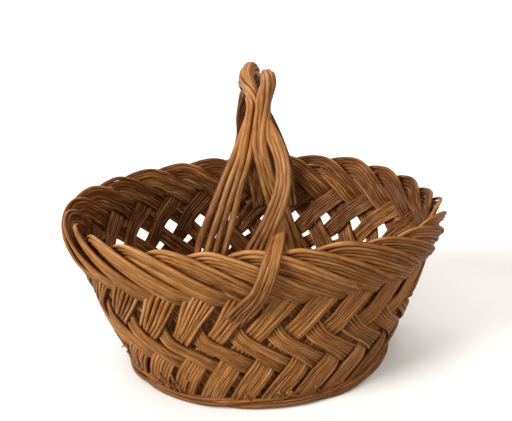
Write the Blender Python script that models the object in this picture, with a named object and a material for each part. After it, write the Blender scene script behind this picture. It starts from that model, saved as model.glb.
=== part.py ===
"""Woven market basket: an oval wall of diagonal bands, a rolled border, a foot ring and a twisted handle.

Metres, +Z up, +X along the long side, -Y the front. The origin is the centre of the underside.
"""

import math

import bpy
import numpy as np

# Wall: half lengths of the oval at the base and at the rim, and the two heights between which it rises
BASE_X, BASE_Y = 0.1435, 0.1315
RIM_X, RIM_Y = 0.1975, 0.1340
WALL_LOW, WALL_HIGH = 0.0130, 0.1685
SQUARENESS = 2.14

# Weave: bands in each direction, weave levels from base to rim, and the lean of the bands
BANDS = 26
LEVELS = 7.3
RIGHT_LEAN = 0.414
LOW_PHASE = 0.25
BAND_HALF = 0.41
BAND_THICK = 0.0044
WEAVE_DEPTH = 0.0026
END_SPREAD = 0.0009
LAST_CROSSING = 6

# Border: the right-rising bands rolled over the rim and laid down to the right
BORDER_OFFSET = 0.0104
BORDER_THICK = 0.0054
BORDER_REACH = 2.35
BORDER_DROP = 1.70
ROLL_ADVANCE = 0.35

ROLL_TURNS = (0, 50, 90, 130, 180)     # degrees of the roll at which a band gets a cross-section
LAY_STATIONS = 5                       # cross-sections along the part that lies down outside

# Foot ring and base
RING_HEIGHT = 0.0095
RING_IN, RING_OUT = 0.0050, 0.0062     # inward and outward of the wall's middle surface
RING_BEVEL = 0.0020
BASE_THICK = 0.0075
BASE_CROWN = 0.0110
CROWN_RINGS = ((0.62, 0.0100), (0.25, BASE_CROWN))     # share of the base oval, height
JOIN_GAP = 0.0005

# Handle: an arch over the short side, four bundles twisted round it
GRIP_REACH, GRIP_RISE, GRIP_FOOT = 0.118, 0.150, 0.1660
GRIP_SLANT = 0.15
GRIP_HALF_ANGLE = math.radians(30)
STRAND_RADIUS = 0.0069
STRAND_OFFSET = 0.0130
GRIP_TWIST = math.radians(-180)
GRIP_STATIONS = 13
STRAND_STARTS = {"right": 45, "left": 135, "cross": 225, "outer": 315}     # degrees at the front neck

# Colours of the willow, linear
RIGHT_COLOUR, LEFT_COLOUR = (0.45, 0.24, 0.10), (0.42, 0.22, 0.09)
RING_COLOUR, BASE_COLOUR = (0.38, 0.20, 0.09), (0.36, 0.19, 0.08)
HANDLE_COLOUR = (0.50, 0.28, 0.12)


def oval(t):
    """A squarish oval of half lengths 1 and 1, at angle t."""
    c, s = np.cos(t), np.sin(t)
    e = 2 / SQUARENESS
    return np.sign(c) * np.abs(c) ** e, np.sign(s) * np.abs(s) ** e


def meridian_angles():
    """Angles round the oval that are evenly spaced in length half way up the wall."""
    a, b = (BASE_X + RIM_X) / 2, (BASE_Y + RIM_Y) / 2
    t = np.linspace(0, 2 * np.pi, 2881)
    x, y = oval(t)
    length = np.concatenate([[0], np.cumsum(np.hypot(np.diff(a * x), np.diff(b * y)))])
    return length / length[-1] * BANDS, t


MERIDIANS = meridian_angles()


def flare(h):
    """Share of the way from the base oval to the rim oval, for a share h of the height."""
    return 1.85 * h - 1.05 * h**2 + 0.20 * h**3


def bare_wall(u, v):
    """A point of the wall's middle surface: u counts bands round the oval, v weave levels upward."""
    t = np.interp(np.mod(u, BANDS), *MERIDIANS)
    x, y = oval(t)
    h = v / LEVELS
    f = flare(h)
    a, b = BASE_X + (RIM_X - BASE_X) * f, BASE_Y + (RIM_Y - BASE_Y) * f
    return np.array([a * x, b * y, WALL_LOW + (WALL_HIGH - WALL_LOW) * h])


def wall_frame(u, v):
    """A point of the wall's middle surface, its outward normal and its upward tangent."""
    d = 1e-3
    p = bare_wall(u, v)
    along = bare_wall(u + d, v) - bare_wall(u - d, v)
    up = bare_wall(u, v + d) - bare_wall(u, v - d)
    n = np.cross(along, up)
    return p, n / np.linalg.norm(n), up / np.linalg.norm(up)


def lattice(p, q):
    """Wall coordinates of the place where right-rising line p meets left-rising line q."""
    v = q - p + LOW_PHASE
    return p + RIGHT_LEAN * v, v


def side_of(crossing):
    """+1 where a right-rising band lies outside, -1 where it lies inside, in pairs of crossings."""
    return 1 if crossing % 4 in (0, 1) else -1


def add_object(name, points, faces, colour, rough):
    mesh = bpy.data.meshes.new(name)
    mesh.from_pydata([tuple(float(c) for c in p) for p in points], [], faces)
    mesh.update()
    obj = bpy.data.objects.new(name, mesh)
    bpy.context.scene.collection.objects.link(obj)
    mat = bpy.data.materials.new(name + "_willow")
    mat.use_nodes = True
    shader = mat.node_tree.nodes["Principled BSDF"]
    shader.inputs["Base Color"].default_value = (*colour, 1)
    shader.inputs["Roughness"].default_value = rough
    mesh.materials.append(mat)
    return obj


def ribbon(name, stations, colour):
    """A closed strip. Each station holds its left and right edge, each edge an inner and an outer point."""
    points = [corner for edges in stations for edge in edges for corner in edge]
    li, lo, ri, ro = 0, 1, 2, 3
    faces = []
    for k in range(len(stations) - 1):
        a, b = 4 * k, 4 * k + 4
        faces += [
            (a + lo, a + ro, b + lo),
            (a + ro, b + ro, b + lo),
            (a + ri, a + li, b + li),
            (a + ri, b + li, b + ri),
            (a + li, a + lo, b + li),
            (a + lo, b + lo, b + li),
            (a + ro, a + ri, b + ro),
            (a + ri, b + ri, b + ro),
        ]
    z = 4 * (len(stations) - 1)
    faces += [(0, 2, 1), (1, 2, 3), (z, z + 1, z + 2), (z + 1, z + 3, z + 2)]
    return add_object(name, points, faces, colour, 0.5)


def edge_pair(u, v, off, thick, roll=0.0):
    """Inner and outer points of a strip edge; roll turns the strip over the rim, in radians."""
    p, n, up = wall_frame(u, v)
    centre = p + off * n
    side = (math.cos(roll) * n - math.sin(roll) * up) * thick / 2
    return centre - side, centre + side


def band_rows():
    """Rows of a band from base to rim: (crossing, edge of that crossing), edges -1 below and +1 above."""
    return [(m, e) for m in range(1, LAST_CROSSING + 1) for e in (-1, 1)]


def end_offset(side):
    return side * (WEAVE_DEPTH + END_SPREAD)


def row_offset(m, e):
    """How far right-rising bands stand from the middle of the wall at a row; the end rows stand wider."""
    at_end = (m, e) in ((1, -1), (LAST_CROSSING, 1))
    return end_offset(side_of(m)) if at_end else side_of(m) * WEAVE_DEPTH


def right_band(i):
    """A band that rises to the right, ends inside the rim and rolls over it to the outside."""
    stations = [[edge_pair(i + s * BAND_HALF, 0, end_offset(1), BAND_THICK) for s in (-1, 1)]]
    for m, e in band_rows():
        row = []
        for s in (-1, 1):
            u, v = lattice(i + s * BAND_HALF, i + m + e * BAND_HALF)
            row.append(edge_pair(u, v, row_offset(m, e), BAND_THICK))
        stations.append(row)
    top = i + RIGHT_LEAN * LEVELS
    inner, outer = end_offset(-1), BORDER_OFFSET
    centre, radius = (inner + outer) / 2, (outer - inner) / 2
    level = np.linalg.norm(bare_wall(i, LEVELS) - bare_wall(i, LEVELS - 1))
    for turn in ROLL_TURNS:
        a = math.radians(turn)
        u = top + ROLL_ADVANCE * (1 - math.cos(a)) / 2
        v = LEVELS + radius / level * math.sin(a)
        off = centre - radius * math.cos(a)
        thick = BAND_THICK + (BORDER_THICK - BAND_THICK) * turn / 180
        stations.append([edge_pair(u + s * BAND_HALF, v, off, thick, a) for s in (-1, 1)])
    for k in range(1, LAY_STATIONS + 1):
        f = k / LAY_STATIONS
        u = top + ROLL_ADVANCE + BORDER_REACH * f
        v = LEVELS - BORDER_DROP * (0.25 * f * (1 - f) + f)
        stations.append([edge_pair(u + s * BAND_HALF, v, outer, BORDER_THICK, math.pi) for s in (-1, 1)])
    return ribbon(f"wall_band_right_{i + 1:02d}", stations, RIGHT_COLOUR)


def left_band(j):
    """A band that rises to the left and ends hidden under the border."""
    def ruling(v, side):
        u = j + LOW_PHASE - (1 - RIGHT_LEAN) * v
        return [edge_pair(u + s * BAND_HALF, v, end_offset(side), BAND_THICK) for s in (-1, 1)]

    stations = [ruling(0, -1)]
    for m, e in band_rows():
        row = []
        for s in (-1, 1):
            u, v = lattice(j - m - e * BAND_HALF, j + s * BAND_HALF)
            row.append(edge_pair(u, v, -row_offset(m, e), BAND_THICK))
        stations.append(row)
    stations.append(ruling(LEVELS, 1))
    return ribbon(f"wall_band_left_{j + 1:02d}", stations, LEFT_COLOUR)


def oval_ring(name, profile, colour):
    """A closed ring: a profile of (offset from the base oval, height) points carried round it."""
    sides, steps = len(profile), 2 * BANDS
    points, faces = [], []
    for k in range(steps):
        p, n, _ = wall_frame(k / 2, 0)
        n = np.array([n[0], n[1], 0]) / math.hypot(n[0], n[1])
        for off, z in profile:
            q = p + off * n
            points.append((q[0], q[1], z))
    for k in range(steps):
        a, b = sides * k, sides * ((k + 1) % steps)
        for m in range(sides):
            n = (m + 1) % sides
            faces.append((a + m, b + m, b + n, a + n))
    return add_object(name, points, faces, colour, 0.6)


def base_panel():
    """The oval bottom: flat underneath, slightly crowned on top."""
    steps = 2 * BANDS
    rings = [(1.0, 0.0), (1.0, BASE_THICK), *CROWN_RINGS]
    points, faces = [], []
    for scale, z in rings:
        for k in range(steps):
            p, n, _ = wall_frame(k / 2, 0)
            n = np.array([n[0], n[1]]) / math.hypot(n[0], n[1])
            x, y = p[:2] - (RING_IN + JOIN_GAP) * n
            points.append((x * scale, y * scale, z))
    for r in range(len(rings) - 1):
        for k in range(steps):
            a, b = r * steps + k, r * steps + (k + 1) % steps
            faces.append((a, b, b + steps, a + steps))
    faces.append(tuple(reversed(range(steps))))
    faces.append(tuple(range((len(rings) - 1) * steps, len(rings) * steps)))
    return add_object("base_panel", points, faces, BASE_COLOUR, 0.6)


def arch(angle):
    """A point of the handle's centre line, and the outward direction across it."""
    y = GRIP_REACH * math.sin(angle)
    p = np.array([-GRIP_SLANT * y, y, GRIP_FOOT + GRIP_RISE * math.cos(angle)])
    out = np.array([0, GRIP_RISE * math.sin(angle), GRIP_REACH * math.cos(angle)])
    return p, out / np.linalg.norm(out)


def strand_point(share, start):
    """A point of a strand in the grip, share 0 at the front neck and 1 at the back neck."""
    p, out = arch(GRIP_HALF_ANGLE * (2 * share - 1))
    turn = start + GRIP_TWIST * share
    return p + STRAND_OFFSET * (math.cos(turn) * np.array([1, 0, 0]) + math.sin(turn) * out)


def smooth_path(points, per_span):
    """A Catmull-Rom curve through the points, each a row of numbers."""
    p = np.array(points, float)
    p = np.vstack([2 * p[0] - p[1], p, 2 * p[-1] - p[-2]])
    out = []
    for k in range(1, len(p) - 2):
        for s in range(per_span):
            t = s / per_span
            out.append(0.5 * (2 * p[k] + (p[k + 1] - p[k - 1]) * t
                              + (2 * p[k - 1] - 5 * p[k] + 4 * p[k + 1] - p[k + 2]) * t**2
                              + (3 * p[k] - p[k - 1] - 3 * p[k + 1] + p[k + 2]) * t**3))
    return np.array(out + [p[-2]])


def swept(name, path, colour, sides=8):
    """A closed bar along a path whose rows are x, y, z, half width, half thickness; wide along X."""
    centre = path[:, :3]
    tangent = np.gradient(centre, axis=0)
    points, faces = [], []
    for c, t, row in zip(centre, tangent, path):
        t = t / np.linalg.norm(t)
        wide = np.array([1.0, 0, 0]) - t[0] * t
        wide /= np.linalg.norm(wide)
        deep = np.cross(t, wide)
        for k in range(sides):
            a = 2 * math.pi * (k + 0.5) / sides
            points.append(c + row[3] * math.cos(a) * wide + row[4] * math.sin(a) * deep)
    for k in range(len(path) - 1):
        a, b = sides * k, sides * (k + 1)
        for m in range(sides):
            n = (m + 1) % sides
            faces.append((a + m, a + n, b + n, b + m))
    last = sides * (len(path) - 1)
    faces.append(tuple(reversed(range(sides))))
    faces.append(tuple(range(last, last + sides)))
    return add_object(name, points, faces, colour, 0.45)


# Front leg of each bundle, from the foot up to the neck of the grip: x, y, z, half width, half thickness
FRONT_LEGS = {
    "left": [
        (-0.0520, -0.1135, 0.125, 0.0145, 0.0038),
        (-0.0470, -0.1145, 0.150, 0.0160, 0.0040),
        (-0.0415, -0.1150, 0.172, 0.0168, 0.0042),
        (-0.0305, -0.1115, 0.210, 0.0140, 0.0050),
        (-0.0205, -0.1040, 0.236, 0.0110, 0.0060),
        (-0.0105, -0.0930, 0.258, 0.0085, 0.0068),
    ],
    "right": [
        (-0.0100, -0.1175, 0.125, 0.0080, 0.0045),
        (-0.0050, -0.1185, 0.150, 0.0080, 0.0048),
        (0.0012, -0.1190, 0.172, 0.0078, 0.0052),
        (0.0135, -0.1190, 0.192, 0.0068, 0.0048),
        (0.0245, -0.1140, 0.214, 0.0072, 0.0045),
        (0.0320, -0.1070, 0.236, 0.0070, 0.0048),
        (0.0325, -0.0960, 0.258, 0.0068, 0.0058),
    ],
    "cross": [
        (0.0420, -0.1145, 0.125, 0.0085, 0.0042),
        (0.0390, -0.1155, 0.150, 0.0090, 0.0042),
        (0.0345, -0.1140, 0.172, 0.0095, 0.0042),
        (0.0325, -0.0975, 0.195, 0.0088, 0.0042),
        (0.0260, -0.0880, 0.214, 0.0082, 0.0044),
        (0.0165, -0.0825, 0.236, 0.0078, 0.0052),
        (0.0070, -0.0770, 0.258, 0.0072, 0.0066),
    ],
    "outer": [
        (-0.0330, -0.1400, 0.082, 0.0110, 0.0030),
        (-0.0215, -0.1440, 0.106, 0.0115, 0.0032),
        (-0.0095, -0.1520, 0.130, 0.0115, 0.0034),
        (-0.0010, -0.1550, 0.146, 0.0110, 0.0036),
        (0.0070, -0.1555, 0.162, 0.0105, 0.0038),
        (0.0155, -0.1510, 0.179, 0.0090, 0.0042),
        (0.0235, -0.1370, 0.1875, 0.0070, 0.0046),
        (0.0285, -0.1230, 0.193, 0.0058, 0.0046),
        (0.0295, -0.1085, 0.201, 0.0056, 0.0038),
        (0.0285, -0.1005, 0.215, 0.0060, 0.0038),
        (0.0270, -0.0930, 0.238, 0.0065, 0.0045),
        (0.0235, -0.0830, 0.258, 0.0066, 0.0056),
    ],
}


def handle_bundles():
    """Four bundles: a front leg, its share of the twisted grip, and the back leg of its partner."""
    partner = {}
    for name, start in STRAND_STARTS.items():
        end = start + math.degrees(GRIP_TWIST)
        for other, angle in STRAND_STARTS.items():
            if (180 - angle - end) % 360 == 0:
                partner[name] = other
    for name, start in STRAND_STARTS.items():
        front = FRONT_LEGS[name]
        centres = [strand_point(share, math.radians(start)) for share in np.linspace(0, 1, GRIP_STATIONS)]
        grip = [(*centre, STRAND_RADIUS, STRAND_RADIUS) for centre in centres]
        back = [(-x, -y, z, w, t) for x, y, z, w, t in reversed(FRONT_LEGS[partner[name]])]
        path = smooth_path(front + grip + back, 2)
        swept(f"handle_bundle_{name}", path, HANDLE_COLOUR)


for old in list(bpy.data.objects):
    bpy.data.objects.remove(old, do_unlink=True)

for band in range(BANDS):
    right_band(band)
    left_band(band)
oval_ring("foot_ring", [(-RING_IN, 0), (RING_OUT - RING_BEVEL, 0), (RING_OUT, RING_BEVEL),
                        (RING_OUT, RING_HEIGHT - RING_BEVEL), (RING_OUT - RING_BEVEL, RING_HEIGHT),
                        (-RING_IN, RING_HEIGHT)], RING_COLOUR)
base_panel()
handle_bundles()
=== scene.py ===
"""Woven willow market basket: rods, border, foot ring, base and twisted handle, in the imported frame.

Metres, +Z up, +X along the long side, -Y the front. A place on the wall is given by u, which counts bands
round the oval (0 is the right end, 13 the left end, 19.5 the middle of the front), and v, which counts the
weave's levels up the wall. A right-rising band i runs along u = i + RIGHT_LEAN * v, and a left-rising band j
along u = j + LOW_PHASE - (1 - RIGHT_LEAN) * v. Every random number comes from one seeded generator.
"""
import math

import bpy
import numpy as np
from mathutils import Matrix, Vector


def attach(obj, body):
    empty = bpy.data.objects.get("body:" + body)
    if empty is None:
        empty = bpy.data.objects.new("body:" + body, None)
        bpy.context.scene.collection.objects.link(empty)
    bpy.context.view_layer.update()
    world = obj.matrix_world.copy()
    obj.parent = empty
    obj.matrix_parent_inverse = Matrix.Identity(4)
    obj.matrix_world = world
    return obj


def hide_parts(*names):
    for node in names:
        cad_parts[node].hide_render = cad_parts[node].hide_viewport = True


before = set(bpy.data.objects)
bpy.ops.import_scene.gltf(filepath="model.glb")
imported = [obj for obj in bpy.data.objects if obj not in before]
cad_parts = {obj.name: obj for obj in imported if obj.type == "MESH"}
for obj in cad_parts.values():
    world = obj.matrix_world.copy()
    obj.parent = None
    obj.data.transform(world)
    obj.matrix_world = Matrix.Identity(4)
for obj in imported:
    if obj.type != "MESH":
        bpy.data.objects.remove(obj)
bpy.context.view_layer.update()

rng = np.random.default_rng(11)
TURN = 6.28                          # a whole turn, near enough for a random phase

# ---------------------------------------------------------------- the wall's shape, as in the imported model
BASE_X, BASE_Y = 0.1435, 0.1315      # half lengths of the oval at the base
RIM_X, RIM_Y = 0.1975, 0.1340        # and at the rim
WALL_LOW, WALL_HIGH = 0.0130, 0.1685
SQUARENESS = 2.14                    # the oval's exponent; 2 is an ellipse
FLARE = (1.85, -1.05, 0.20)          # how the wall widens with its height h: shares of h, h**2 and h**3
BANDS, LEVELS = 26, 7.3
RIGHT_LEAN, LOW_PHASE = 0.414, 0.25
MEASURED = 2e-2                      # directions are measured over this much of a band and of a level


def unit(vectors):
    return vectors / np.linalg.norm(vectors, axis=-1, keepdims=True)


def ease(x):
    """0 to 1 with a soft start and a soft end."""
    x = np.clip(x, 0, 1)
    return x * x * (3 - 2 * x)


def oval(t):
    """The flattened oval of half lengths 1 and 1, at angle t."""
    c, s = np.cos(t), np.sin(t)
    e = 2 / SQUARENESS
    return np.sign(c) * np.abs(c) ** e, np.sign(s) * np.abs(s) ** e


def meridian_angles():
    """Counts of bands, and the oval's angles there, that space the bands evenly half way up the flare."""
    a, b = (BASE_X + RIM_X) / 2, (BASE_Y + RIM_Y) / 2
    t = np.linspace(0, 2 * np.pi, 2881)
    x, y = oval(t)
    length = np.concatenate([[0], np.cumsum(np.hypot(np.diff(a * x), np.diff(b * y)))])
    return length / length[-1] * BANDS, t


MERIDIANS = meridian_angles()


def bare_wall(u, v):
    """Points of the wall's middle surface."""
    x, y = oval(np.interp(np.mod(u, BANDS), *MERIDIANS))
    h = np.clip(v / LEVELS, -0.1, 1.2)
    f = FLARE[0] * h + FLARE[1] * h**2 + FLARE[2] * h**3
    a, b = BASE_X + (RIM_X - BASE_X) * f, BASE_Y + (RIM_Y - BASE_Y) * f
    return np.stack([a * x, b * y, WALL_LOW + (WALL_HIGH - WALL_LOW) * h], -1)


def wall_steps(u, v):
    """Short steps along the wall and up it, each over twice MEASURED."""
    along = bare_wall(u + MEASURED, v) - bare_wall(u - MEASURED, v)
    up = bare_wall(u, v + MEASURED) - bare_wall(u, v - MEASURED)
    return along, up


def wall_frame(u, v):
    """Points of the wall's middle surface, with the unit directions out of it and up it."""
    along, up = wall_steps(u, v)
    return bare_wall(u, v), unit(np.cross(along, up)), unit(up)


def wall_scale(u, v):
    """Metres per band and metres per level."""
    along, up = wall_steps(u, v)
    return np.linalg.norm(along, axis=-1) / (2 * MEASURED), np.linalg.norm(up, axis=-1) / (2 * MEASURED)


# ---------------------------------------------------------------- rods
SECTION_STEP = 0.004                 # between the cross-sections of a wall rod
KNOT_EVERY, KNOT_SPAN = 0.10, 0.0028       # a rod swells at a knot about this often, over about this length
KNOT_SWELL = (0.04, 0.11)            # least and most, as a share of the radius
LONG_WAVE, SHORT_WAVE = (0.025, 0.031), (0.02, 0.013)    # of the radius: share, and length per radian
OUT_OF_ROUND = 0.05
CAP_BULGE = 0.12                     # of the radius
GROOVE_FROM, GROOVE_POWER = 0.62, 1.3      # the painted groove shade starts where a rod's surface turns this far aside
RIDGE_FROM = 0.45                    # the painted ridge highlight starts where it turns this far out or in
PLAIN_GROOVE, PLAIN_RIDGE = 0.15, 0.35     # painted groove shade and painted ridge highlight all round a rod that lies in no band
CUT_END = (3.0, 0.1, 0.5)            # tone, painted groove shade and painted ridge highlight of a cut end
TONE_MIDDLE, TONE_GAIN = 0.5, 0.14   # how a tone, where 1 is a usual difference, is stored between 0 and 1


def spline(points, step):
    """Catmull-Rom through the rows of points, resampled at even steps along its first three columns."""
    p = np.asarray(points, float)
    p = np.vstack([2 * p[0] - p[1], p, 2 * p[-1] - p[-2]])
    t = np.linspace(0, 1, 12, endpoint=False)[:, None]
    pieces = []
    for k in range(1, len(p) - 2):
        slope = p[k + 1] - p[k - 1]
        bow = 2 * p[k - 1] - 5 * p[k] + 4 * p[k + 1] - p[k + 2]
        swing = 3 * p[k] - p[k - 1] - 3 * p[k + 1] + p[k + 2]
        pieces.append(0.5 * (2 * p[k] + slope * t + bow * t**2 + swing * t**3))
    return resample(np.vstack(pieces + [p[-2:-1]]), step)


def resample(fine, step):
    """The rows of a finely drawn path at even steps along its first three columns."""
    s = lengths(fine)
    n = max(3, int(round(s[-1] / step)) + 1)
    at = np.linspace(0, s[-1], n)
    return np.stack([np.interp(at, s, fine[:, k]) for k in range(fine.shape[1])], -1)


def lengths(path):
    """The length along a path at each of its points."""
    return np.concatenate([[0], np.cumsum(np.linalg.norm(np.diff(path[:, :3], axis=0), axis=1))])


def grown(radius, s, knots):
    """A rod's radius at the lengths s, swollen at its knots and varied by a long and a short wave."""
    radius = np.broadcast_to(np.asarray(radius, float), s.shape).copy()
    for _ in range(rng.poisson(s[-1] / KNOT_EVERY * knots)):
        at, size = rng.uniform(0, s[-1]), rng.uniform(*KNOT_SWELL)
        radius *= 1 + size * np.exp(-((s - at) / KNOT_SPAN) ** 2)
    start = rng.uniform(0, TURN, 2)
    waves = [share * np.sin(s / reach + at) for (share, reach), at in zip((LONG_WAVE, SHORT_WAVE), start)]
    return radius * (1 + waves[0] + waves[1])


def cross_sections(tan, sides):
    """Unit rings square to the directions along a rod, carried along without twist, and their shape."""
    across = np.cross(tan[0], (0.0, 0, 1) if abs(tan[0][2]) < 0.9 else (1.0, 0, 0))
    side = np.empty_like(tan)
    for k in range(len(tan)):
        across = across - tan[k] * np.dot(across, tan[k])
        across /= np.linalg.norm(across)
        side[k] = across
    other = np.cross(tan, side)
    angle = np.linspace(0, 2 * np.pi, sides, endpoint=False) + rng.uniform(0, TURN)
    ring = side[:, None] * np.cos(angle)[None, :, None] + other[:, None] * np.sin(angle)[None, :, None]
    return ring, 1 + OUT_OF_ROUND * np.cos(2 * angle + rng.uniform(0, TURN))


class Bundle:
    """Collects rods as tubes in one mesh.

    The UV map "rod" holds the length along each rod and the turn round it. The colour attribute "tint" holds
    the rod's tone, darkened on its inward side as painted shade, the painted shade of the groove where it
    meets its neighbours, and the painted highlight on the ridge between.
    """

    def __init__(self, inward_shade=0.0):
        self.points, self.faces, self.uvs, self.tints = [], [], [], []
        self.count = 0                       # of points
        self.inward_shade = inward_shade     # painted shade: how much darker the rods are on the side that faces inward

    def rod(self, path, radius, sides=9, caps=True, knots=1.0, shade=None):
        """A tube along the path, whose columns 4 to 6, if it has them, point out of the basket."""
        path = np.asarray(path, float)
        path, outward = path[:, :3], path[:, 3:6]
        n, s = len(path), lengths(path)
        radius = grown(radius, s, knots)
        tan = unit(np.gradient(path, axis=0))
        ring, shape = cross_sections(tan, sides)
        first = self.count
        self.points.append((path[:, None] + ring * (radius[:, None] * shape)[..., None]).reshape(-1, 3))
        self.count += n * sides

        start = rng.uniform(0, 40)           # each rod shows its own stretch of the grain
        shade = rng.normal(0, 1) if shade is None else shade
        row = np.arange(n - 1)[:, None] * sides
        here = np.arange(sides)[None]
        there = (here + 1) % sides
        quads = np.stack([row + here, row + there, row + there + sides, row + here + sides], -1)
        quads = quads.reshape(-1, 4)
        self.faces.extend((quads + first).tolist())

        u0, u1, w0, w1 = np.broadcast_arrays(
            (s[:-1] + start)[:, None], (s[1:] + start)[:, None], here / sides, (here + 1) / sides)
        corners = [np.stack(corner, -1) for corner in ((u0, w0), (u0, w1), (u1, w1), (u1, w0))]
        self.uvs.append(np.stack(corners, 2).reshape(-1, 2))
        tint = self.shading(tan, ring, outward, shade)
        self.tints.append(np.stack([value.ravel()[quads.ravel()] for value in tint], -1))

        for end, sign in ((0, -1), (n - 1, 1)) if caps else ():
            self.points.append((path[end] + sign * tan[end] * radius[end] * CAP_BULGE)[None])
            for k in range(sides):
                a, b = first + end * sides + k, first + end * sides + (k + 1) % sides
                self.faces.append((b, a, self.count) if sign < 0 else (a, b, self.count))
                self.uvs.append(np.array([[s[end] + start, turn] for turn in (0.3, 0.5, 0.4)]))
                self.tints.append(np.tile(CUT_END, (3, 1)))
            self.count += 1

    def shading(self, tan, ring, outward, shade):
        """Tone, painted groove shade and painted ridge highlight at each corner of each cross-section; the
        tone is darker on the inward side, as painted shade.
        """
        if not outward.shape[1]:
            return [np.full(ring.shape[:2], value) for value in (shade, PLAIN_GROOVE, PLAIN_RIDGE)]
        lateral = unit(np.cross(tan, outward))
        facing = np.einsum("nsk,nk->ns", ring, np.cross(lateral, tan))
        side_on = np.abs(np.einsum("nsk,nk->ns", ring, lateral))
        # painted shade: the side of a rod that faces inward is darker
        tone = shade - self.inward_shade * np.clip(0.35 - 1.3 * facing, 0, 1)
        groove = np.clip((side_on - GROOVE_FROM) / (1 - GROOVE_FROM), 0, 1) ** GROOVE_POWER
        ridge = np.clip((np.abs(facing) - RIDGE_FROM) / (1 - RIDGE_FROM), 0, 1)
        return tone, groove, ridge

    def build(self, name, finish, node):
        """Makes the piece that stands for the CAD's node; finish is a material and its record slot, and the
        slot is not used.
        """
        material, slot = finish
        mesh = bpy.data.meshes.new(name)
        mesh.from_pydata(np.concatenate(self.points).tolist(), [], self.faces)
        mesh.update()
        layer = mesh.uv_layers.new(name="rod")
        layer.data.foreach_set("uv", np.concatenate(self.uvs).astype(np.float32).ravel())
        tone, groove, ridge = np.concatenate(self.tints).T
        tint = np.stack([tone * TONE_GAIN + TONE_MIDDLE, groove, ridge, np.ones_like(tone)], -1)
        attribute = mesh.color_attributes.new(name="tint", type="FLOAT_COLOR", domain="CORNER")
        attribute.data.foreach_set("color", np.clip(tint, 0, 1).astype(np.float32).ravel())
        mesh.polygons.foreach_set("use_smooth", [True] * len(mesh.polygons))
        mesh.materials.append(material)
        obj = bpy.data.objects.new(name, mesh)
        bpy.context.scene.collection.objects.link(obj)
        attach(obj, "root")
        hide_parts(node)


# ---------------------------------------------------------------- materials
GROOVE_SHADE = (0.070, 0.020, 0.004)        # painted shade that lies in the grooves between rods
# The third of these darkens the willow towards the bottom; on the handle's legs inside the basket that is
# painted shade.
BLOTCH, PORE, LOW_DARK = (0.60, 0.47, 0.38), (0.25, 0.20, 0.16), (0.30, 0.20, 0.14)      # these tint the willow
GRAIN, FIBRE = (60, 7), (220, 26)    # how fine a pattern is along a rod, per metre, and round it
PATCHES, GROOVE_SHADE_PATCHES = (14, 1.2), (16, 0.9)
COAT_ROUGHNESS, SPECULAR = 0.32, 0.14
BUMP_STRENGTH, BUMP_DEPTH = 0.35, 0.0006


class Nodes:
    """A material's shader tree, with a short call for each kind of node that the willow needs."""

    def __init__(self, material):
        material.use_nodes = True
        self.tree = material.node_tree
        self.shader = self.tree.nodes["Principled BSDF"]
        self.rod = self.new("ShaderNodeUVMap", uv_map="rod").outputs["UV"]
        self.place = self.new("ShaderNodeTexCoord").outputs["Object"]

    def new(self, kind, **settings):
        node = self.tree.nodes.new(kind)
        for key, value in settings.items():
            setattr(node, key, value)
        return node

    def feed(self, socket, value):
        """Gives an input a link, a colour or a number."""
        if isinstance(value, bpy.types.NodeSocket):
            self.tree.links.new(value, socket)
        else:
            socket.default_value = (*value, 1) if isinstance(value, tuple) else value

    def split(self, kind, value):
        """The three outputs of a separate node."""
        node = self.new(kind)
        self.feed(node.inputs[0], value)
        return node.outputs[:3]

    def on_rod(self, fineness):
        """The rod's own coordinates, scaled along it and round it."""
        node = self.new("ShaderNodeMapping")
        node.inputs["Scale"].default_value = (*fineness, 1)
        self.feed(node.inputs["Vector"], self.rod)
        return node.outputs["Vector"]

    def noise(self, vector, detail, roughness, distortion=0.0, scale=1.0):
        node = self.new("ShaderNodeTexNoise")
        self.feed(node.inputs["Vector"], vector)
        self.feed(node.inputs["Scale"], scale)
        self.feed(node.inputs["Detail"], detail)
        self.feed(node.inputs["Roughness"], roughness)
        self.feed(node.inputs["Distortion"], distortion)
        return node.outputs["Fac"]

    def ramp(self, value, *stops):
        """A colour ramp; a stop is a position and a colour."""
        node = self.new("ShaderNodeValToRGB")
        elements = node.color_ramp.elements
        for element, (position, colour) in ((elements[0], stops[0]), (elements[1], stops[-1])):
            element.position = position
            element.color = (*colour, 1)
        for position, colour in stops[1:-1]:
            elements.new(position).color = (*colour, 1)
        self.feed(node.inputs["Fac"], value)
        return node.outputs["Color"]

    def mix(self, blend, share, a, b):
        node = self.new("ShaderNodeMix", data_type="RGBA", blend_type=blend)
        self.feed(node.inputs["Factor"], share)
        self.feed(node.inputs[6], a)
        self.feed(node.inputs[7], b)
        return node.outputs[2]

    def math(self, operation, a, b):
        node = self.new("ShaderNodeMath", operation=operation)
        self.feed(node.inputs[0], a)
        self.feed(node.inputs[1], b)
        return node.outputs[0]

    def blend(self, a, share_a, b, share_b):
        """A weighted sum of two values."""
        return self.math("ADD", self.math("MULTIPLY", a, share_a), self.math("MULTIPLY", b, share_b))

    def spread(self, noise, middle, gain, low=0.0, high=1.0):
        """A noise value stretched round its middle, and held between two limits."""
        stretched = self.math("MULTIPLY", self.math("SUBTRACT", noise, middle), gain)
        return self.math("MINIMUM", self.math("MAXIMUM", stretched, low), high)


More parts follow.
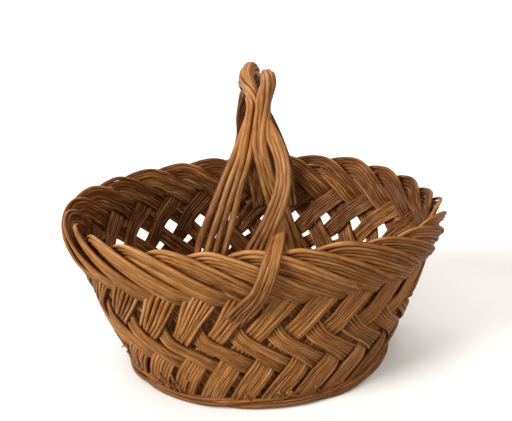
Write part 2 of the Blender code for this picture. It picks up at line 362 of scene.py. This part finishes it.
def willow(name, slot, light, mid, dark, rough=0.50, coat=0.03, ridge_highlight=(0.68, 0.42, 0.21),
           low_dark=(0.045, 0.70, 0.50)):
    """Peeled, aged willow: long fine grain, blotches, dark pores, darker low down, painted shade in the
    grooves, painted highlights on the ridges.

    One keyword gives the colour of the painted highlight on the ridges. The last gives the height up to
    which the willow darkens towards the bottom, the darkening's strength at height 0 and the most that it
    may be; on the handle's legs inside the basket that darkening is painted shade.
    """
    material = bpy.data.materials.new(name)
    n = Nodes(material)
    grain = n.noise(n.on_rod(GRAIN), 4, 0.6, 0.3)
    fibre = n.noise(n.on_rod(FIBRE), 2, 0.5)
    blotches = n.noise(n.place, 3, 0.6, scale=28)
    tint = n.new("ShaderNodeVertexColor", layer_name="tint").outputs["Color"]
    rod_tone, groove, ridge = n.split("ShaderNodeSeparateColor", tint)

    tone = n.blend(grain, 0.45, n.noise(n.on_rod(PATCHES), 3, 0.6), 0.55)
    colour = n.ramp(n.blend(tone, 0.62, rod_tone, 0.38), (0.33, dark), (0.47, mid), (0.66, light))
    colour = n.mix("MULTIPLY", n.math("MULTIPLY", n.spread(blotches, 0.45, 3.0), 0.55), colour, BLOTCH)
    colour = n.mix("MULTIPLY", 0.55, colour, n.ramp(fibre, (0.27, PORE), (0.40, (1, 1, 1))))

    # darker towards the bottom; on the handle's legs inside the basket this is painted shade
    dark_top, dark_strength, dark_most = low_dark
    height = n.split("ShaderNodeSeparateXYZ", n.place)[2]
    depth = n.math("MULTIPLY", n.math("SUBTRACT", dark_top, height), dark_strength / dark_top)
    depth = n.math("MINIMUM", n.math("MAXIMUM", depth, 0.0), dark_most)
    colour = n.mix("MULTIPLY", depth, colour, LOW_DARK)

    # painted highlight on the ridges of the rods, broken up by the grain
    highlight_share = n.math("MULTIPLY", n.spread(grain, 0.45, 3.0), 0.42)
    colour = n.mix("MIX", n.math("MULTIPLY", ridge, highlight_share), colour, ridge_highlight)
    # painted shade in the grooves between rods, uneven in patches
    uneven = n.spread(n.noise(n.on_rod(GROOVE_SHADE_PATCHES), 2, 0.5), 0.34, 3.4, low=0.18)
    colour = n.mix("MIX", n.math("MULTIPLY", groove, uneven), colour, GROOVE_SHADE)
    n.feed(n.shader.inputs["Base Color"], colour)

    roughness = n.math("ADD", n.math("MULTIPLY", grain, 0.25), rough - 0.12)
    roughness = n.math("ADD", roughness, n.math("MULTIPLY", blotches, 0.12))
    n.feed(n.shader.inputs["Roughness"], roughness)
    n.feed(n.shader.inputs["Coat Weight"], coat)
    n.feed(n.shader.inputs["Coat Roughness"], COAT_ROUGHNESS)
    n.feed(n.shader.inputs["Specular IOR Level"], SPECULAR)

    bump = n.new("ShaderNodeBump")
    n.feed(bump.inputs["Strength"], BUMP_STRENGTH)
    n.feed(bump.inputs["Distance"], BUMP_DEPTH)
    n.feed(bump.inputs["Height"], n.blend(grain, 0.6, fibre, 0.4))
    n.feed(n.shader.inputs["Normal"], bump.outputs["Normal"])
    return material, slot


WALL = willow("wall_willow", "band_right_willow",
              light=(0.54, 0.246, 0.080), mid=(0.320, 0.122, 0.027), dark=(0.112, 0.032, 0.005))
CROSS = willow("cross_willow", "band_left_willow",
               light=(0.50, 0.230, 0.074), mid=(0.290, 0.110, 0.023), dark=(0.100, 0.029, 0.005))
HANDLE_LOOK = dict(light=(0.55, 0.265, 0.088), mid=(0.325, 0.125, 0.029), dark=(0.125, 0.036, 0.007),
                   rough=0.44, coat=0.06, ridge_highlight=(0.58, 0.362, 0.168))
# The handle darkens below the rim: painted shade on its legs inside the basket, and less of it on the bundle
# outside.
GRIP = willow("handle_rods_willow", "handle_willow", low_dark=(0.285, 1.8, 0.60), **HANDLE_LOOK)
GRIP_OUTSIDE = willow("handle_rods_willow outside", "handle_willow", low_dark=(0.285, 1.8, 0.25), **HANDLE_LOOK)
FOOT = willow("foot_rods_willow", "foot_ring_willow",
              light=(0.46, 0.205, 0.056), mid=(0.270, 0.102, 0.023), dark=(0.085, 0.024, 0.005),
              rough=0.52, coat=0.04, low_dark=(0.022, 0.9, 0.5))
BASE = willow("base_rods_willow", "base_willow",
              light=(0.34, 0.150, 0.044), mid=(0.200, 0.076, 0.018), dark=(0.072, 0.021, 0.005),
              rough=0.55, coat=0.04)

# ---------------------------------------------------------------- wall bands and border
BAND_FOOT = -0.42                    # the level where the rods start, inside the foot ring
WEAVE = 0.0027                       # how far a band swings out of the wall's middle surface, and in
BEND = 0.36                          # a band reaches its side this long after it changes, in crossings
WOVEN = (0.35, 6.5)                  # in crossings; below and above these a band keeps its place
RIGHT_RODS, RIGHT_RADIUS = 6, 0.00250
LEFT_RODS, LEFT_RADIUS = 6, 0.00206
ROD_PITCH = 0.87                     # between neighbouring rods of a band, in rod diameters
HALF_BAND = 0.420                    # a band's widest half width, in bands
TOP_FAN, FAN_PLACE = 0.06, (16.6, 2.2)     # right of the left end the bands spread like fans in the top row
FAN_FROM, FAN_SPAN = 3.3, 1.4
WAIST, WAIST_LEVEL = 0.38, 3.95      # bands draw together half way up, which opens the holes
WAIST_ABOVE, WAIST_BELOW = 0.95, 1.35      # how far the waist reaches, in levels
# Where the wall is closed: by what share, near which band, and its reach in bands
CLOSED = ((0.70, 22.3, 1.9), (0.50, 5.2, 3.2), (0.30, 19.9, 1.2), (0.60, 16.6, 1.7))
# Where a band is narrow, every other rod rides up by a share of its radius, and all of them get thinner
STACK, THINNER = 0.20, 0.22
# Left-rising bands sag to a curve in their middle row; at the left of the front, right-rising bands stand up
# in the top row, and the middle rows hang lower
SAG, SAG_LEVEL, SAG_SPAN = 0.26, 3.25, 0.90
STEEPER, STEEP_LEVEL, STEEP_SPAN, STEEP_PLACE = 0.09, 5.15, 0.95, (16.8, 2.6)
HANG, HANG_LEVEL, HANG_SPAN, HANG_PLACE = 0.50, 3.55, 1.15, (17.1, 1.35)
INWARD_SHADE = 3.0                   # painted shade: how much darker a band or a handle rod is on its inward side, in tones

# Bands whose rods differ from the rest: the number of rods, and their radius
OTHER_LEFT = {17: (5, 0.0024), 18: (3, 0.0038), 19: (3, 0.0034), **dict.fromkeys(range(3, 11), (7, 0.0021))}
OTHER_RIGHT = {
    **dict.fromkeys(range(7), (7, 0.00235)),
    14: (6, 0.0027), 15: (6, 0.0029), 16: (7, 0.0027), 17: (7, 0.0027), 18: (8, 0.0027),
    19: (8, 0.0020), 20: (7, 0.00215), 21: (8, 0.0020), 22: (7, 0.00215), 23: (7, 0.0021),
}

# A border ribbon's middle: bands past the top of the band's line, level, offset from the wall, tilt per rod
BORDER = np.array([
    (-0.06, 6.78, -0.0028, 0.0),
    (0.20, 7.14, -0.0006, 0.00025),
    (0.50, 7.32, 0.0030, 0.00075),
    (0.90, 7.20, 0.0060, 0.00125),
    (1.35, 6.88, 0.0084, 0.00150),
    (1.80, 6.44, 0.0092, 0.00150),
    (2.25, 5.94, 0.0084, 0.00125),
    (2.58, 5.56, 0.0060, 0.00100),
    (2.84, 5.26, 0.0006, 0.000625),
])
BORDER_FROM = 6.2                    # the level where the wall's part of a rod ends
SOFT_FROM, SOFT_SPAN = 5.4, 1.2      # and the levels over which it bends towards its place in the border
LEFT_END = (15.0, 2.2)               # a place and its reach, in bands
BORDER_LOWER = ((0.20, 9.3, 2.8), (0.25, 0.0, 1.6))      # by these levels, near a place, with its reach
BORDER_PITCH = 1.62                  # between neighbouring rods of a border ribbon, in rod radii
BORDER_THICKER = 1.04
BAND_STEP, LEVEL_STEP = 0.0415, 0.0215     # metres per band and per level at the rim
STRAY = 0.16                         # how far a rod strays from its place in its ribbon, in pitches
TAIL_FROM, TAIL_SPAN = 1.5, 1.2      # a ribbon narrows past this many bands, over so many more,
TAIL_NARROWS = 0.30                  # by this share of its width
TAIL_SPARED = 0.6                    # of that narrowing, which is left out at the left end of the basket
END_STEP = 0.035                     # each rod of a ribbon ends this many bands before the one above it
OVER_FROM, OVER_SPAN = 6.9, 0.6      # levels over which the border's outward direction turns up;
OVER_OUT, OVER_OUT_SPAN = 0.009, 0.008     # less so the further out it lies, and not at all from here on
WALL_POINTS, WALL_KEPT = 90, 85      # points up the wall; the last few are rounded into the border


def near(u, centre, reach):
    """1 at a place round the oval, falling softly to 0 beyond its reach, in bands."""
    away = np.mod(u - centre + BANDS / 2, BANDS) - BANDS / 2
    return np.exp(-((away / reach) ** 2))


def weave(x):
    """+1 over, -1 under, two crossings each, with a smooth bend between; x counts crossings."""
    x = np.clip(x, *WOVEN) + 0.5
    f = np.mod(x, 2)
    side = np.where(np.mod(np.floor(x / 2), 2) < 0.5, 1.0, -1.0)
    bend = np.sin(np.pi / 2 * np.clip(np.minimum(f, 2 - f) / BEND, 0, 1))
    return side * bend * (1 + 0.10 * np.sin(np.pi * f / 2))


def pinch(u, v):
    """How far the bands are drawn together: 1 at the waist, and less where the wall is closed."""
    span = np.where(v > WAIST_LEVEL, WAIST_ABOVE, WAIST_BELOW)
    closed = sum(share * near(u, centre, reach) for share, centre, reach in CLOSED)
    return np.exp(-((v - WAIST_LEVEL) / span) ** 2) * (1 - closed)


def settled(u, v):
    """The level where the weave's level v lies in the wall."""
    return v - HANG * near(u, *HANG_PLACE) * np.exp(-(((v - HANG_LEVEL) / HANG_SPAN) ** 2))


def sag(v):
    """How far left-rising bands lie from their straight line at level v, in bands."""
    return -SAG * np.exp(-((v - SAG_LEVEL) / SAG_SPAN) ** 2)


def steepen(u, v):
    """How far right-rising bands lie from theirs."""
    d = v - STEEP_LEVEL
    return -STEEPER * near(u, *STEEP_PLACE) * d * np.exp(-((d / STEEP_SPAN) ** 2))


def rod_shift(c, count, radius, u, v, lean):
    """How far rod c of a band lies from the band's own line, in bands."""
    along, up = wall_scale(u, v)
    climb = up / (lean * along)
    spacing = along * climb / np.sqrt(1 + climb**2)      # square across the band, in metres per band
    outer = (count - 1) / 2
    fan = TOP_FAN * near(u, *FAN_PLACE) * np.clip((v - FAN_FROM) / FAN_SPAN, 0, 1)
    widest = HALF_BAND + fan - radius / spacing
    full = np.minimum(outer * 2 * radius * ROD_PITCH / spacing, widest)
    return c / outer * full * (1 - WAIST * pinch(u, v))


def border_rows(c, radius, late, stray, left_end):
    """One rod of a ribbon that arcs over the rim and runs down to the right, beside the others."""
    place, level, offset, tilt = BORDER.T
    run = unit(np.gradient(BORDER[:, :2], axis=0) * (BAND_STEP, LEVEL_STEP))
    aside = (c + stray * np.sin(np.linspace(0.2, 3.0, len(BORDER)))) * BORDER_PITCH * radius
    tail = np.clip((place - TAIL_FROM) / TAIL_SPAN, 0, 1)
    aside = aside * (1 - TAIL_NARROWS * tail * (1 - TAIL_SPARED * left_end))
    place = place + aside * run[:, 1] / BAND_STEP
    level = level - aside * run[:, 0] / LEVEL_STEP
    place[-1] += late - END_STEP * c
    level[-1] -= 1.1 * (late - END_STEP * c)
    return np.stack([place, level, offset - c * tilt], -1)


def roll_normal(nn, up, level, out):
    """Outward direction of the border: away from the wall outside, turning over the rim to point up."""
    over = np.clip((level - OVER_FROM) / OVER_SPAN, 0, 1) * np.clip((OVER_OUT - out) / OVER_OUT_SPAN, 0, 1)
    return nn * (1 - over[:, None]) + up * over[:, None]


def right_wall(i, c, count, thick, ride):
    """Rod c of a right-rising band, up the wall: u, level, offset from the wall and share of its radius."""
    v = np.linspace(BAND_FOOT, BORDER_FROM, WALL_POINTS)
    line = i + RIGHT_LEAN * v
    shift = rod_shift(c, count, thick, line, v, RIGHT_LEAN)
    wander = rng.normal(0, 0.011) * np.sin(v * 1.3 + c) + rng.normal(0, 0.006) * np.sin(v * 2.9 + 2 * c)
    u = line + shift + (0.05 + c * 0.03) * ease((v - SOFT_FROM) / SOFT_SPAN) + wander + steepen(line, v)
    off = WEAVE * weave(v + shift - sag(v) - LOW_PHASE) + 0.0003 * rng.normal() * np.sin(v * 2 + c)
    off += ride * pinch(u, v)
    return np.stack([u, settled(u, v), off, 1 - THINNER * pinch(u, v)], -1)


def right_border(i, c, thick, droop):
    """The same rod's part in the border, in the same columns."""
    top = i + RIGHT_LEAN * LEVELS
    rows = border_rows(c, thick, rng.uniform(-0.06, 0.10), rng.uniform(-STRAY, STRAY), near(top, *LEFT_END))
    rows[:, 0] += top + rng.normal(0, 0.006, len(rows))
    rows[:, 1] -= sum(levels * near(top, centre, reach) for levels, centre, reach in BORDER_LOWER)
    rows[:, 1] += droop * np.linspace(0.3, 1, len(rows)) + rng.normal(0, 0.010, len(rows))
    rows[:, 2] += rng.normal(0, 0.0004)
    return np.hstack([rows, np.full((len(rows), 1), BORDER_THICKER)])


def right_rods(i):
    """One right-rising band: up the wall, inside the rim, over it and down to the right as the border."""
    bundle = Bundle(INWARD_SHADE)
    band_tone = rng.normal(0, 0.7)
    droop = rng.normal(0, 0.06)
    count, thick = OTHER_RIGHT.get(i, (RIGHT_RODS, RIGHT_RADIUS))
    for k in range(count):
        c = k - (count - 1) / 2
        wall = right_wall(i, c, count, thick, STACK * thick * (-1) ** k)
        u, v, off, share = np.vstack([wall, right_border(i, c, thick, droop)]).T
        q, nn, up = wall_frame(u, v)
        path = np.hstack([q + nn * off[:, None], roll_normal(nn, up, v, off), share[:, None]])
        border = spline(path[WALL_KEPT:], SECTION_STEP)[1:]
        path = np.vstack([resample(path[:WALL_KEPT], SECTION_STEP), border])
        radius = thick * path[:, 6] * np.linspace(1.0, 0.93, len(path)) * rng.uniform(0.90, 1.09)
        bundle.rod(path, radius, shade=band_tone + rng.normal(0, 0.8))
    bundle.build(f"rods_right_{i + 1:02d}", WALL, f"wall_band_right_{i + 1:02d}")


def left_rods(j):
    """One left-rising band, whose rods end hidden under the border."""
    bundle = Bundle(INWARD_SHADE)
    band_tone = rng.normal(0, 0.6)
    count, thick = OTHER_LEFT.get(j, (LEFT_RODS, LEFT_RADIUS))
    lean = 1 - RIGHT_LEAN
    for k in range(count):
        c = k - (count - 1) / 2
        v = np.linspace(BAND_FOOT, 6.60 + rng.uniform(-0.1, 0.1), 96)
        line = j + LOW_PHASE - lean * v
        shift = rod_shift(c, count, thick, line, v, lean)
        u = line + shift + sag(v) + rng.normal(0, 0.007) * np.sin(v * 1.1 + c)
        off = -WEAVE * weave(v - shift - sag(v) - LOW_PHASE) + 0.0002 * rng.normal() * np.sin(v * 2.3 + c)
        waist = pinch(u, v)
        off += STACK * thick * (-1) ** k * waist
        q, nn, _ = wall_frame(u, settled(u, v))
        path = resample(np.hstack([q + nn * off[:, None], nn, 1 - THINNER * waist[:, None]]), SECTION_STEP)
        radius = thick * path[:, 6] * np.linspace(1.04, 0.94, len(path)) * rng.uniform(0.93, 1.07)
        bundle.rod(path, radius, shade=band_tone + rng.normal(0, 0.8))
    bundle.build(f"rods_left_{j + 1:02d}", CROSS, f"wall_band_left_{j + 1:02d}")


# ---------------------------------------------------------------- handle
GRIP_REACH, GRIP_RISE, GRIP_FOOT = 0.118, 0.150, 0.1660      # the arch's half width, rise and foot
GRIP_SLANT, BACK_SLANT = 0.15, 0.04  # the arch goes to the right by this per metre forward, and left behind
GRIP_HALF_ANGLE = math.radians(30)   # of the arch, over which the bundles are twisted together
GRIP_SHIFT = 0.0080                  # the top of the grip stands this far to the right
STRAND_APART_NECK, STRAND_APART_TOP = 0.0058, 0.0108     # from the grip's centre to each fat strand's
STRAND_START = {"a": 222, "b": 42}   # degrees from +X towards outward, at the front neck
STRAND_TURNS = (12, 168)             # degrees that the strands wind back, up to the top and behind it
TOP_SHARE, NECK_SHARE = 0.40, 0.38   # of the grip: where the crossing starts, and the length of each neck
RING_RADIUS = 0.0056                 # rods stand this far from their fat strand's centre
NECK_FLAT, NECK_DEEP = 0.78, 1.12    # the ring of rods is squeezed at the necks
TWIST = {"a": 165, "b": 100}         # degrees the rods wind round each fat strand over the top of the grip
TWIST_SHARE, TWIST_BACK = 0.55, 55   # within this share of the grip, and unwind all along it
SQUEEZE_FROM, SQUEEZE_SPAN = 0.19, 0.08    # heights over which the foot's squeeze turns into the neck's
LEG_SHARE = 0.36                     # of a rod's whole length that is in one leg
HANDLE_STEP = 0.0035
SIDEWAYS = np.array([1.0, 0, 0])

# Each bundle: its fat strand; its rods' places in that at the front neck, in degrees (None is the core);
# their radii at the foot and in the grip; how far the back leg is squeezed, at the foot and at the neck; and
# the front leg's route from the foot to the neck, as x, y, z and half width
HANDLE = {
    "left": ("a", (195, 145, 95, 50), (0.0041, 0.0027), (0.85, 0.85), [
        (-0.0520, -0.1150, 0.120, 0.0150), (-0.0470, -0.1155, 0.150, 0.0165),
        (-0.0420, -0.1150, 0.176, 0.0170), (-0.0300, -0.1110, 0.212, 0.0150),
        (-0.0195, -0.1030, 0.240, 0.0125), (-0.0105, -0.0915, 0.262, 0.0100)]),
    "outer": ("a", (250, 275, 300, 325, 350, None), (0.0024, 0.0022), (0.57, 0.44), [
        (-0.0215, -0.1345, 0.102, 0.0110), (-0.0150, -0.1395, 0.1145, 0.0120),
        (-0.0045, -0.1460, 0.129, 0.0105), (0.0050, -0.1512, 0.1450, 0.0088),
        (0.0115, -0.1545, 0.1625, 0.0082), (0.0165, -0.1480, 0.1780, 0.0074),
        (0.0212, -0.1335, 0.1860, 0.0064), (0.0242, -0.1190, 0.189, 0.0054),
        (0.0255, -0.1060, 0.198, 0.0056), (0.0255, -0.0980, 0.213, 0.0060),
        (0.0248, -0.0915, 0.236, 0.0060), (0.0208, -0.0830, 0.260, 0.0060)]),
    "cross": ("b", (140, 95, 50, None), (0.0036, 0.0027), (0.57, 0.50), [
        (0.0430, -0.1150, 0.120, 0.0110), (0.0395, -0.1155, 0.150, 0.0115),
        (0.0345, -0.1120, 0.176, 0.0110), (0.0270, -0.1020, 0.205, 0.0095),
        (0.0195, -0.0990, 0.228, 0.0085), (0.0120, -0.0930, 0.252, 0.0075),
        (0.0085, -0.0820, 0.274, 0.0070)]),
    "right": ("b", (5, 320, 275, 230), (0.0031, 0.0027), (0.57, 0.34), [
        (-0.0120, -0.1165, 0.120, 0.0110), (-0.0060, -0.1175, 0.150, 0.0115),
        (0.0010, -0.1185, 0.172, 0.0110), (0.0102, -0.1185, 0.192, 0.0084),
        (0.0212, -0.1165, 0.214, 0.0080), (0.0300, -0.1070, 0.238, 0.0075),
        (0.0285, -0.0920, 0.262, 0.0065), (0.0215, -0.0790, 0.280, 0.0060)]),
}


def arch(angle):
    """A point of the handle's centre line, and the outward direction across it."""
    y = GRIP_REACH * math.sin(angle)
    slant = GRIP_SLANT if y < 0 else BACK_SLANT
    out = np.array([0, GRIP_RISE * math.sin(angle), GRIP_REACH * math.cos(angle)])
    return np.array([-slant * y, y, GRIP_FOOT + GRIP_RISE * math.cos(angle)]), unit(out)


def grip_point(share, strand, place):
    """A rod in the grip: share 0 is the front neck and 1 the back neck; the strands cross behind the top."""
    p, out = arch(GRIP_HALF_ANGLE * (2 * share - 1))
    opened = ease(share / NECK_SHARE) * ease((1 - share) / NECK_SHARE)
    to_top, behind = ease(share / TOP_SHARE), ease((share - TOP_SHARE) / (1 - TOP_SHARE))
    turn = math.radians(STRAND_START[strand] - STRAND_TURNS[0] * to_top - STRAND_TURNS[1] * behind)
    apart = STRAND_APART_NECK + (STRAND_APART_TOP - STRAND_APART_NECK) * opened
    away = np.array([math.cos(turn), math.sin(turn)])
    centre = p + (apart * away[0] + GRIP_SHIFT * opened) * SIDEWAYS + apart * away[1] * out
    if place is None:
        return np.hstack([centre, out])
    across = np.array([-away[1], away[0]])
    flat = NECK_FLAT + (1 - NECK_FLAT) * opened
    deep = NECK_DEEP + (1 - NECK_DEEP) * opened
    a = math.radians(place + TWIST[strand] * ease(share / TWIST_SHARE) - TWIST_BACK * share) - turn
    local = RING_RADIUS * (flat * math.cos(a) * away + deep * math.sin(a) * across)
    offset = local[0] * SIDEWAYS + local[1] * out
    return np.hstack([centre + offset, offset / RING_RADIUS])


def leg_points(route, c, count, squeeze=(1.0, 1.0)):
    """One rod's way up a leg, side by side with its neighbours; squeeze narrows its foot and its neck."""
    route = np.array(route)
    run = unit(np.gradient(route[:, :3], axis=0))
    wide = unit(SIDEWAYS - run[:, :1] * run)
    points = route[:, :3] + wide * route[:, 3:] * (2 * c / count)
    foot, neck = squeeze
    points[:, 0] *= foot + (neck - foot) * np.clip((points[:, 2] - SQUEEZE_FROM) / SQUEEZE_SPAN, 0, 1)
    return np.hstack([points, np.cross(wide, run)])


def handle_rods(name):
    """One bundle of the handle: up the front leg, through the grip and down the back leg."""
    strand, places, (foot, grip), squeeze, route = HANDLE[name]
    bundle = Bundle(INWARD_SHADE)
    count = len(places)
    for k, place in enumerate(places):
        c = k - (count - 1) / 2
        front = leg_points(route, c, count)
        front[:, :3] += rng.normal(0, 0.0004, (len(route), 3))
        front[0, 2] += rng.uniform(-0.006, 0.004)
        arc = np.array([grip_point(share, strand, place) for share in np.linspace(0.06, 0.94, 16)])
        back = leg_points(route, c, count, squeeze)[::-1] * (-1, -1, 1, -1, -1, 1)
        path = spline(np.vstack([front, arc, back]), HANDLE_STEP)
        for _ in range(6):
            path[1:-1] = (path[:-2] + 2 * path[1:-1] + path[2:]) / 4
        at = np.linspace(0, 1, len(path))
        down_front = np.clip(1 - at / LEG_SHARE, 0, 1) ** 0.8
        down_back = np.clip((at - (1 - LEG_SHARE)) / LEG_SHARE, 0, 1)
        radius = grip + (foot - grip) * down_front - 0.0002 * down_back
        bundle.rod(path, radius * rng.uniform(0.96, 1.05), sides=12, knots=0.7, shade=rng.normal(0, 0.95))
    # the bundle outside the basket gets less of the painted shade low down
    finish = GRIP_OUTSIDE if name == "outer" else GRIP
    bundle.build(f"rods_handle_{name}", finish, f"handle_bundle_{name}")


# ---------------------------------------------------------------- foot ring and base
# The twined pairs of the ring: height, distance out of the wall, bands per twist, rod radius
TWINED = ((0.0042, 0.0058, 5.2, 0.0024), (0.0082, 0.0048, 4.3, 0.0020))
TWINE_OUT, TWINE_UP = 0.0019, 0.0014     # how far a pair's rods swing round each other
LOOSE_RODS = 16                      # thin ends that lie along the ring
STUBS, STUBS_LEFT = 12, 16           # cut ends round the front, and more of them in its worn left part
THORN_AT = (14.9, 1.35)
SPOKES, ROUNDS = 36, 29
BASE_HEIGHT = 0.0055
SPOKE_SHORT, ROUND_SHORT = 0.005, 0.0045     # how far short of the base oval they end


def ring_path(u, outward, height):
    """A run round the base oval, at a distance out of the wall and a height that may vary with u."""
    q, nn, _ = wall_frame(u, np.zeros(len(u)))
    path = q + unit(nn * (1, 1, 0)) * outward[:, None]
    path[:, 2] = height
    return path


def foot_rods():
    """The foot ring: two twined pairs, loose ends along them, and cut stubs that stand in them."""
    bundle = Bundle()
    u = np.linspace(0, BANDS, 420)
    for low, out, length, radius in TWINED:
        for strand in range(2):
            phase = math.pi * strand + rng.uniform(0, 1)
            turn = 2 * np.pi * u / length + phase + 0.5 * np.sin(u * 1.7)
            path = ring_path(u, out + TWINE_OUT * np.cos(turn), low + TWINE_UP * np.sin(turn))
            bundle.rod(path, radius, sides=8, caps=False)
    for _ in range(LOOSE_RODS):
        start, span = rng.uniform(0, BANDS), rng.uniform(1.2, 3.4)
        rise = rng.uniform(0.0005, 0.0050)
        along = np.linspace(start, start + span, 30)
        q, nn, _ = wall_frame(along, np.zeros(30))
        path = q + nn * (0.0066 + 0.0012 * np.sin(along))[:, None]
        path[:, 2] = 0.0080 + rise * np.linspace(0, 1, 30) ** 2
        bundle.rod(path, rng.uniform(0.0012, 0.0019), sides=7)
    for _ in range(STUBS):
        foot_stub(bundle, rng.uniform(13.6, 26.4), rng.uniform(0.15, 0.45), rng.uniform(-0.5, 0.5))
    for _ in range(STUBS_LEFT):
        foot_stub(bundle, rng.uniform(14.2, 17.6), rng.uniform(0.25, 0.95), rng.uniform(-0.4, 0.5))
    thorn(bundle)
    bundle.build("rods_foot", FOOT, "foot_ring")


def foot_stub(bundle, u, level, lean):
    """A short cut end, poking down from the wall to the foot ring."""
    v = np.linspace(level, -0.12, 6)
    q, nn, _ = wall_frame(u + lean * np.linspace(0, 1, 6), v)
    path = q + nn * (0.0060 + 0.0006 * np.sin(v * 5 + u))[:, None]
    bundle.rod(path, rng.uniform(0.0012, 0.0017), sides=8, knots=0.3, shade=rng.uniform(-2.0, 0.2))


def thorn(bundle):
    """The broken tip that stands out of the wall at the left of the front."""
    point, out, _ = wall_frame(*np.array(THORN_AT)[:, None])
    path = point + out * np.array([[0.001], [0.005], [0.009]]) + ((0, 0, 0), (0, 0, 0.001), (0, 0, 0))
    bundle.rod(path, 0.0009, sides=7)


def base_rods():
    """The bottom: spokes from the middle to the foot, and weavers round them, one over and one under."""
    bundle = Bundle()
    for k in range(SPOKES):
        x, y = oval(np.array(2 * math.pi * k / SPOKES))
        end = np.array([(BASE_X - SPOKE_SHORT) * x, (BASE_Y - SPOKE_SHORT) * y, 0])
        reach = np.linspace(0.012 if k % 2 else 0.001, 1, 24)[:, None]
        bundle.rod(reach * end + (0, 0, BASE_HEIGHT), 0.0017, sides=7, knots=0.3)
    for r in range(ROUNDS):
        share = (r + 1.6) / (ROUNDS + 0.6)
        t = np.linspace(0, 2 * np.pi, int(80 + 360 * share))
        x, y = oval(t)
        wave = np.clip(1.4 * np.cos(t * SPOKES / 2 + math.pi * r), -1, 1)
        z = BASE_HEIGHT + 0.0023 * wave * (0.6 + 0.4 * share)
        path = np.stack([(BASE_X - ROUND_SHORT) * share * x, (BASE_Y - ROUND_SHORT) * share * y, z], -1)
        bundle.rod(path, 0.0023, sides=7, caps=False, knots=0.4)
    bundle.build("rods_base", BASE, "base_panel")


for band in range(BANDS):
    right_rods(band)
    left_rods(band)
for bundle_name in HANDLE:
    handle_rods(bundle_name)
foot_rods()
base_rods()

# ---------------------------------------------------------------- floor, light, camera
FLOOR_HALF = 6
CAMERA_AT = (0.0027, -0.9000, 0.5543)
CAMERA_PITCH, CAMERA_ROLL = 0.4071, -0.0308
FOCAL_SHARE = 1.718                  # focal length over image width
SENSOR_WIDTH = 36


def lay_floor():
    """Pale paper, which doesn't throw light back up at the basket."""
    corners = [(x * FLOOR_HALF, y * FLOOR_HALF, 0) for x, y in ((-1, -1), (1, -1), (1, 1), (-1, 1))]
    mesh = bpy.data.meshes.new("floor")
    mesh.from_pydata(corners, [], [(0, 1, 2, 3)])
    paper = bpy.data.materials.new("paper_floor")
    paper.use_nodes = True
    shader = paper.node_tree.nodes["Principled BSDF"]
    shader.inputs["Base Color"].default_value = (0.93, 0.93, 0.93, 1)
    shader.inputs["Roughness"].default_value = 0.9
    mesh.materials.append(paper)
    floor = bpy.data.objects.new("floor", mesh)
    bpy.context.scene.collection.objects.link(floor)
    floor.visible_diffuse = False


def sun(name, towards, strength, spread, colour):
    """A distant soft light that stands in the given direction; its spread is in degrees."""
    data = bpy.data.lights.new(name, "SUN")
    data.energy = strength
    data.angle = math.radians(spread)
    data.color = colour
    obj = bpy.data.objects.new(name, data)
    obj.rotation_euler = Vector(towards).to_track_quat("Z", "Y").to_euler()
    bpy.context.scene.collection.objects.link(obj)


def white_surround():
    """A white world that the camera sees and that doesn't light the basket."""
    world = bpy.data.worlds.new("studio")
    world.use_nodes = True
    background = world.node_tree.nodes["Background"]
    background.inputs["Color"].default_value = (1, 1, 1, 1)
    background.inputs["Strength"].default_value = 1.0
    world.cycles_visibility.diffuse = False
    world.cycles_visibility.glossy = False
    bpy.context.scene.world = world


def aim_camera():
    data = bpy.data.cameras.new("camera")
    data.sensor_fit = "HORIZONTAL"
    data.sensor_width = SENSOR_WIDTH
    data.lens = SENSOR_WIDTH * FOCAL_SHARE
    data.clip_start = 0.01
    camera = bpy.data.objects.new("camera", data)
    bpy.context.scene.collection.objects.link(camera)
    camera.location = CAMERA_AT
    forward = Vector((0, math.cos(CAMERA_PITCH), -math.sin(CAMERA_PITCH)))
    turned = forward.to_track_quat("-Z", "Y").to_matrix() @ Matrix.Rotation(CAMERA_ROLL, 3, "Z")
    camera.rotation_euler = turned.to_euler()
    bpy.context.scene.camera = camera


lay_floor()
sun("key", (-1.40, -0.64, 0.74), 4.3, 32, (1.0, 0.99, 0.97))
sun("back", (-0.25, 0.90, 0.65), 2.1, 60, (1.0, 0.98, 0.95))
sun("top", (0.05, -0.25, 1.0), 0.8, 60, (1.0, 0.96, 0.91))
sun("fill", (0.78, -0.60, 0.44), 2.1, 110, (1.0, 0.92, 0.84))
white_surround()
aim_camera()
bpy.context.scene.view_settings.view_transform = "Standard"
